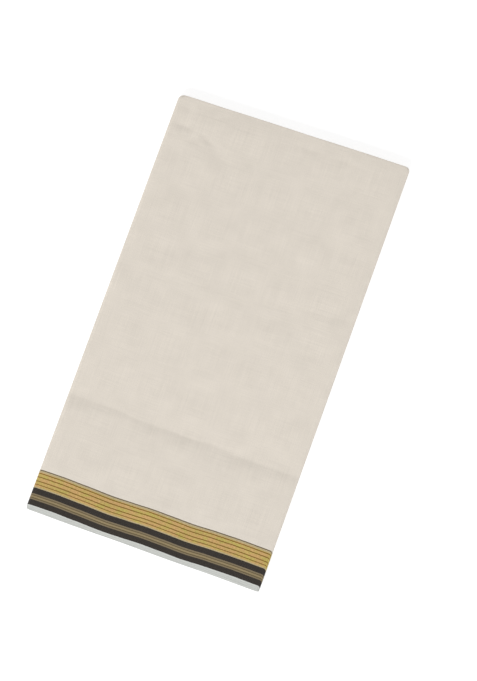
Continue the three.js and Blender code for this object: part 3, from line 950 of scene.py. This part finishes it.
def cotton_material(name):
    """Plain-weave cotton: the border's colour with specks of the crosswise threads, times the tones
    of slubs and mottle, and a bump of thread height + 2 * slubs."""
    material = bpy.data.materials.new(name)
    material.use_nodes = True
    tree = material.node_tree
    shader = tree.nodes["Principled BSDF"]
    uv = tree.nodes.new("ShaderNodeUVMap")
    uv.uv_map = "Flat cloth"
    split = tree.nodes.new("ShaderNodeSeparateXYZ")
    tree.links.new(uv.outputs[0], split.inputs[0])
    along, across = split.outputs[0], split.outputs[1]

    lengthwise_colour, gilt = border(tree, along, across)
    lengthwise_on_top, height = plain_weave(tree, along, across)
    crosswise_colour = mix_colours(tree, lengthwise_colour, COTTON, CREAM_SPECKS)
    woven = mix_colours(tree, crosswise_colour, lengthwise_colour, lengthwise_on_top)
    slubs = slub_tone(tree, along, across)
    scaled = tree.nodes.new("ShaderNodeVectorMath")
    scaled.operation = "SCALE"
    feed(tree, woven, scaled.inputs[0])
    tone = times(tree, slubs, mottle_tone(tree, along, across, gilt, height))
    feed(tree, tone, scaled.inputs["Scale"])
    feed(tree, scaled.outputs[0], shader.inputs["Base Color"])

    bump = tree.nodes.new("ShaderNodeBump")
    bump.inputs["Strength"].default_value = BUMP_STRENGTH
    bump.inputs["Distance"].default_value = BUMP_DISTANCE
    feed(tree, plus(tree, times(tree, slubs, SLUB_HEIGHT), height), bump.inputs["Height"])
    feed(tree, bump.outputs[0], shader.inputs["Normal"])

    roughness = mixed_numbers(tree, COTTON_ROUGHNESS, GILT_ROUGHNESS, gilt)
    feed(tree, roughness, shader.inputs["Roughness"])
    feed(tree, times(tree, gilt, GILT_METAL), shader.inputs["Metallic"])
    shader.inputs["Sheen Weight"].default_value = SHEEN
    shader.inputs["Sheen Roughness"].default_value = SHEEN_ROUGHNESS
    shader.inputs["Specular IOR Level"].default_value = SPECULAR
    return material


# %% The cotton on every piece
cotton = cotton_material("Cotton with woven border")
for piece in pieces.values():
    piece.data.materials.append(cotton)
print(len(cotton.node_tree.nodes), "nodes make the cotton")

# %% [markdown]
# ## Joining the pieces to the frame
#
# Each stretch takes the place of its own solid in the frame and rides on the only body there is.
# The three lengths add up to one percent less than the whole saree, because inside the bundle the
# leaves turn back a few millimetres before they reach the outline.

# %% Bodies, nodes and slots
JOINS = {
    "outer_cloth": {"node": "outer_stretch", "slot": "cotton", "rests_on": "floor"},
    "second_cloth": {"node": "second_stretch", "slot": "cotton", "rests_on": "outer_cloth"},
    "hidden_cloth": {"node": "hidden_folds", "slot": "hidden_cotton", "rests_on": "second_cloth"},
}
for name, join in JOINS.items():
    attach(pieces[name], "root")
    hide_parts(join["node"])
cloth_used = sum(float(path_lengths(path)[-1]) for path, _, _ in stretches.values())
print("all three together are", round(cloth_used, 2), "m of the", CLOTH_LENGTH, "m")

# %% [markdown]
# ## Floor, light and camera
#
# The bundle lies on a plain white floor, which rolls up into a wall far away, as a paper roll does in
# a studio, so that there is no horizon. It glows a little by itself, which keeps it white without so
# much light that the cream cloth would burn out.

# %% The floor and its upturned rim
FLAT_HALF = 9.0  # metres of flat floor from the middle to each side
RIM_RADIUS = 9.0
RIM_STEPS = 12
FLOOR_GAP = 0.2 * MM  # how far the floor lies below the lowest leaf


def rolled_up(distance):
    """How far out and how high a point lies that is `distance` from the middle on the unrolled
    sheet: flat up to FLAT_HALF, and then a quarter of a circle, out by r sin and up by r (1 - cos)."""
    angle = np.clip((np.abs(distance) - FLAT_HALF) / RIM_RADIUS, 0, np.pi / 2)
    out = np.minimum(np.abs(distance), FLAT_HALF) + RIM_RADIUS * np.sin(angle)
    return np.sign(distance) * out, RIM_RADIUS * (1 - np.cos(angle))


rim = FLAT_HALF + np.linspace(0, RIM_RADIUS * np.pi / 2, RIM_STEPS + 1)
line = np.concatenate([-rim[::-1], rim])
side_a, side_b = np.meshgrid(line, line, indexing="ij")
floor_height = rolled_up(np.maximum(np.abs(side_a), np.abs(side_b)))[1]
floor_points = np.stack([rolled_up(side_a)[0], rolled_up(side_b)[0], floor_height], axis=-1)
floor = grid_mesh("floor", floor_points, np.stack([side_a, side_b], axis=-1))
floor.location.z = -FLOOR_GAP

# %% The floor's white
FLOOR_WHITE = (0.36, 0.36, 0.36, 1)
FLOOR_GLOW = 0.79
FLOOR_ROUGHNESS, FLOOR_SPECULAR = 0.9, 0.1

paint = bpy.data.materials.new("White floor")
paint.use_nodes = True
floor_shader = paint.node_tree.nodes["Principled BSDF"]
floor_shader.inputs["Base Color"].default_value = FLOOR_WHITE
floor_shader.inputs["Roughness"].default_value = FLOOR_ROUGHNESS
floor_shader.inputs["Specular IOR Level"].default_value = FLOOR_SPECULAR
floor_shader.inputs["Emission Color"].default_value = WHITE
floor_shader.inputs["Emission Strength"].default_value = FLOOR_GLOW
floor.data.materials.append(paint)
floor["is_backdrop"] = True
print("the floor glows at", FLOOR_GLOW)

# %% [markdown]
# Most of the light is soft and comes from everywhere. One large lamp on the side of the hem draws the
# creases: a slope that faces it is a little brighter, and one that faces away a little darker. The
# lamp stands far off, so that both ends of the bundle get nearly the same light.

# %% Light
WORLD_STRENGTH = 0.43
LAMP_PLACE = Vector((-1.6, -12.7, 11.2))
LAMP_SIZE = 5.8  # metres across
LAMP_POWER = 2258.0  # watts

scene = bpy.context.scene
world = bpy.data.worlds.new("Soft studio")
world.use_nodes = True
world.node_tree.nodes["Background"].inputs["Color"].default_value = WHITE
world.node_tree.nodes["Background"].inputs["Strength"].default_value = WORLD_STRENGTH
scene.world = world

lamp_data = bpy.data.lights.new("Large soft lamp", "AREA")
lamp_data.shape = "DISK"
lamp_data.size = LAMP_SIZE
lamp_data.energy = LAMP_POWER
lamp = bpy.data.objects.new("Large soft lamp", lamp_data)
lamp.location = LAMP_PLACE
lamp.rotation_euler = (-LAMP_PLACE).to_track_quat("-Z", "Y").to_euler()
scene.collection.objects.link(lamp)
print("the lamp is", round(LAMP_PLACE.length, 1), "m away")

# %% [markdown]
# The camera looks straight down, turned a little so that the bundle lies aslant in the picture. It is
# high above the cloth with a long lens, so the sides of the bundle hardly show. The lens follows from
# how many millimetres one pixel is to cover at the height of the bundle's edges.

# %% Camera
PICTURE_HEIGHT = 681  # pixels
MM_PER_PIXEL = 1.363
EDGE_HEIGHT = 10 * MM  # height of the bundle's edges
CAMERA_HEIGHT = 3.4  # metres
SENSOR = 36.0  # mm, along the picture's height
ROLL = math.radians(19.5)
AIM = Vector((27.08 * MM, 7.17 * MM, 0))

camera_data = bpy.data.cameras.new("Camera above")
camera_data.sensor_width = SENSOR
camera_data.lens = SENSOR * (CAMERA_HEIGHT - EDGE_HEIGHT) / (PICTURE_HEIGHT * MM_PER_PIXEL * MM)
camera = bpy.data.objects.new("Camera above", camera_data)
camera.location = AIM + Vector((0, 0, CAMERA_HEIGHT))
camera.rotation_euler = (0, 0, ROLL)
scene.collection.objects.link(camera)
scene.camera = camera
scene.view_settings.view_transform = "Standard"
print("lens", round(camera_data.lens, 1), "mm")

# %% [markdown]
# ## Measuring and finishing
#
# The last cell prints the box of the solids and the box of the finished cloth, so that the two
# can be compared.

# %% Sizes and the end
visual_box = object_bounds()
for label, box in (("solids", cad_box), ("cloth", visual_box)):
    print(label, [round(v / MM, 2) for v in box[0]], [round(v / MM, 2) for v in box[1]])
